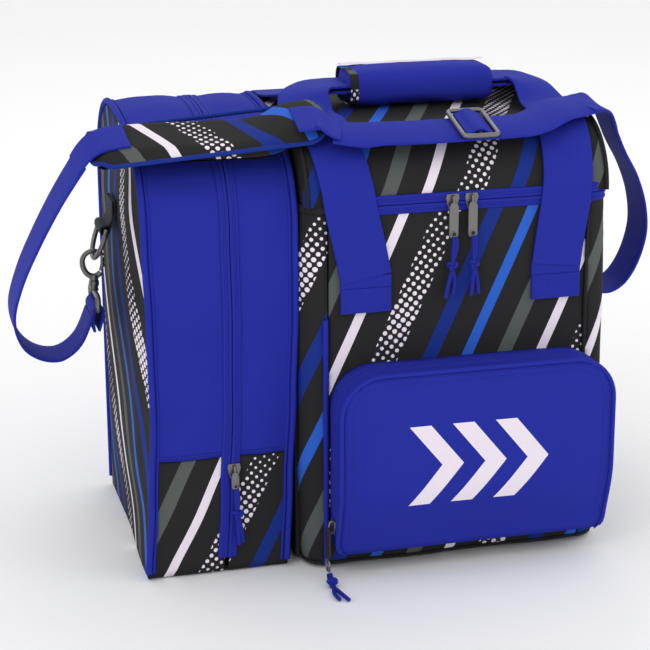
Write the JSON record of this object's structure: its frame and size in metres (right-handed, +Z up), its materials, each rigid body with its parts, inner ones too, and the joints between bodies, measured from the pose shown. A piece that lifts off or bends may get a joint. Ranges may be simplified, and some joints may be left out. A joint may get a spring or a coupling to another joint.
{
  "type": "bowling ball bag",
  "caption": "Soft bowling bag with a zipped ball compartment, a zipped shoe compartment on one end, a front pocket, twin carry handles and a padded clip-on shoulder strap.",
  "frame": {"origin": "centre of the underside of the base, where the bag stands, halfway along the bag's overall length of cloth and halfway between its front and back walls", "axes": "+X right along the long front, +Y to the back, away from the front pocket, +Z up"},
  "size_m": [0.5246, 0.3043, 0.3685],
  "materials": {
    "blue_cloth": "woven polyester, matt",
    "printed_cloth": "printed polyester, matt",
    "lining": "woven lining, matt",
    "webbing": "ribbed webbing, matt",
    "piping": "covered cord, matt",
    "zip_tape": "coil zip on woven tape",
    "metal": "nickel plated, satin",
    "rubber": "moulded, satin",
    "foam": "foam covered with cloth",
    "board": "stiff sheet",
    "cord": "braided cord",
    "padding": "padded printed cloth"
  },
  "bodies": {
    "bag_body": {"main_front_panel": "printed_cloth", "main_back_panel": "printed_cloth", "main_left_end_panel": "printed_cloth", "main_right_end_panel": "printed_cloth", "main_base_panel": "lining", "base_board": "board", "ball_cup": "foam", "main_left_piping": "piping", "main_right_piping": "piping", "main_zip_body_tape": "zip_tape", "shoe_divider": "lining", "shoe_inner_gusset": "blue_cloth", "shoe_base_panel": "lining", "shoe_inner_piping": "piping", "shoe_zip_inner_tape": "zip_tape", "pocket_floor": "printed_cloth", "pocket_rear_gusset": "printed_cloth", "strap_left_arc": "webbing", "strap_right_arc": "webbing", "right_ring_tab": "webbing"},
    "lid": {"lid_panel": "printed_cloth", "lid_left_end": "printed_cloth", "lid_right_end": "printed_cloth", "lid_right_piping": "piping", "main_zip_lid_tape": "zip_tape", "strap_middle": "webbing"},
    "strap_adjuster": {"tri_glide": "metal"},
    "main_left_slider": {"main_slider_left": "metal"},
    "main_left_pull": {"main_pull_left": "metal", "main_pull_cord_left": "cord"},
    "main_right_slider": {"main_slider_right": "metal"},
    "main_right_pull": {"main_pull_right": "metal", "main_pull_cord_right": "cord"},
    "shoe_flap": {"shoe_outer_gusset": "blue_cloth", "shoe_end_panel": "printed_cloth", "shoe_outer_piping": "piping", "shoe_zip_outer_tape": "zip_tape", "left_ring_tab": "webbing"},
    "shoe_zip_slider": {"shoe_slider": "metal"},
    "shoe_zip_pull": {"shoe_pull": "metal", "shoe_pull_cord": "cord"},
    "pocket_flap": {"pocket_front_gusset": "printed_cloth", "pocket_front_panel": "printed_cloth", "pocket_piping": "piping"},
    "pocket_zip_slider": {"pocket_slider": "metal"},
    "pocket_zip_pull": {"pocket_pull": "rubber", "pocket_pull_ring": "metal", "pocket_pull_cord": "cord"},
    "front_handle": {"front_handle_webbing": "webbing", "handle_wrap": "blue_cloth"},
    "back_handle": {"back_handle_webbing": "webbing"},
    "strap_pad": {"shoulder_pad": "padding"},
    "left_ring": {"left_d_ring": "metal"},
    "left_clip": {"left_hook": "metal"},
    "left_clip_gate": {"left_gate": "metal"},
    "left_swivel": {"left_swivel_eye": "metal"},
    "right_ring": {"right_d_ring": "metal"},
    "right_clip": {"right_hook": "metal"},
    "right_clip_gate": {"right_gate": "metal"},
    "right_swivel": {"right_swivel_eye": "metal"}
  },
  "joints": [
    {"name": "lid_open", "type": "hinge", "parent": "bag_body", "child": "lid", "pos_m": [0, 0.1185, 0.288], "axis": [-1, 0, 0], "range_deg": [0, 100], "deforming": ["front_handle_webbing", "back_handle_webbing", "handle_wrap", "shoulder_pad"]},
    {"name": "strap_adjuster_slide", "type": "slide", "parent": "lid", "child": "strap_adjuster", "axis": [1, 0, 0], "range_m": [-0.015, 0.015]},
    {"name": "front_handle_swing", "type": "hinge", "parent": "bag_body", "child": "front_handle", "pos_m": [0, -0.1235, 0.2335], "axis": [1, 0, 0], "range_deg": [0, 150], "deforming": ["strap_middle", "shoulder_pad", "back_handle_webbing"]},
    {"name": "back_handle_swing", "type": "hinge", "parent": "bag_body", "child": "back_handle", "pos_m": [0, 0.1235, 0.2335], "axis": [-1, 0, 0], "range_deg": [0, 150], "deforming": ["handle_wrap", "front_handle_webbing"]},
    {"name": "main_left_slider_slide", "type": "slide", "parent": "bag_body", "child": "main_left_slider", "axis": [-1, 0, 0], "range_m": [0, 0.035]},
    {"name": "main_left_pull_swing", "type": "hinge", "parent": "main_left_slider", "child": "main_left_pull", "pos_m": [0.052, -0.1251, 0.287], "axis": [-1, 0, 0], "range_deg": [0, 105]},
    {"name": "main_right_slider_slide", "type": "slide", "parent": "bag_body", "child": "main_right_slider", "axis": [1, 0, 0], "range_m": [0, 0.035]},
    {"name": "main_right_pull_swing", "type": "hinge", "parent": "main_right_slider", "child": "main_right_pull", "pos_m": [0.067, -0.1251, 0.287], "axis": [-1, 0, 0], "range_deg": [0, 105]},
    {"name": "shoe_flap_open", "type": "hinge", "parent": "bag_body", "child": "shoe_flap", "pos_m": [-0.1815, 0, 0.0053], "axis": [0, -1, 0], "range_deg": [0, 60], "deforming": ["strap_left_arc", "shoulder_pad"]},
    {"name": "shoe_slider_slide", "type": "slide", "parent": "bag_body", "child": "shoe_zip_slider", "axis": [0, 0, 1], "range_m": [0, 0.17]},
    {"name": "shoe_pull_swing", "type": "hinge", "parent": "shoe_zip_slider", "child": "shoe_zip_pull", "pos_m": [-0.116, -0.1121, 0.084], "axis": [-1, 0, 0], "range_deg": [0, 105]},
    {"name": "pocket_flap_open", "type": "hinge", "parent": "bag_body", "child": "pocket_flap", "pos_m": [0, -0.1585, 0.015], "axis": [1, 0, 0], "range_deg": [0, 75]},
    {"name": "pocket_slider_slide", "type": "slide", "parent": "bag_body", "child": "pocket_zip_slider", "axis": [0, 0, 1], "range_m": [0, 0.075]},
    {"name": "pocket_pull_swing", "type": "hinge", "parent": "pocket_zip_slider", "child": "pocket_zip_pull", "pos_m": [-0.0488, -0.1355, 0.041], "axis": [0, 1, 0], "range_deg": [0, 105]},
    {"name": "strap_pad_slide", "type": "slide", "parent": "bag_body", "child": "strap_pad", "axis": [-1, 0, 0], "range_m": [0, 0.02], "deforming": ["strap_left_arc"]},
    {"name": "left_ring_swing", "type": "hinge", "parent": "shoe_flap", "child": "left_ring", "pos_m": [-0.194, 0, 0.256], "axis": [0, 1, 0], "range_deg": [0, 15]},
    {"name": "left_clip_swing", "type": "hinge", "parent": "left_ring", "child": "left_clip", "pos_m": [-0.20272, 0, 0.23204], "axis": [1, 0, 0], "range_deg": [-15, 15]},
    {"name": "left_gate_open", "type": "hinge", "parent": "left_clip", "child": "left_clip_gate", "pos_m": [-0.19681, 0, 0.22449], "axis": [0, -1, 0], "range_deg": [0, 25], "stiffness_Nm_per_rad": 0.004, "springref_deg": -17.19},
    {"name": "left_swivel_turn", "type": "hinge", "parent": "left_clip", "child": "left_swivel", "pos_m": [-0.20272, 0, 0.2], "axis": [0, 0, 1], "range_deg": [-25, 25]},
    {"name": "right_ring_swing", "type": "hinge", "parent": "bag_body", "child": "right_ring", "pos_m": [0.1935, 0, 0.256], "axis": [0, -1, 0], "range_deg": [0, 15], "deforming": ["strap_right_arc"]},
    {"name": "right_clip_swing", "type": "hinge", "parent": "right_ring", "child": "right_clip", "pos_m": [0.20222, 0, 0.23204], "axis": [1, 0, 0], "range_deg": [-15, 15]},
    {"name": "right_gate_open", "type": "hinge", "parent": "right_clip", "child": "right_clip_gate", "pos_m": [0.19631, 0, 0.22449], "axis": [0, 1, 0], "range_deg": [0, 25], "stiffness_Nm_per_rad": 0.004, "springref_deg": -17.19},
    {"name": "right_swivel_turn", "type": "hinge", "parent": "right_clip", "child": "right_swivel", "pos_m": [0.20222, 0, 0.2], "axis": [0, 0, 1], "range_deg": [-25, 25]}
  ]
}
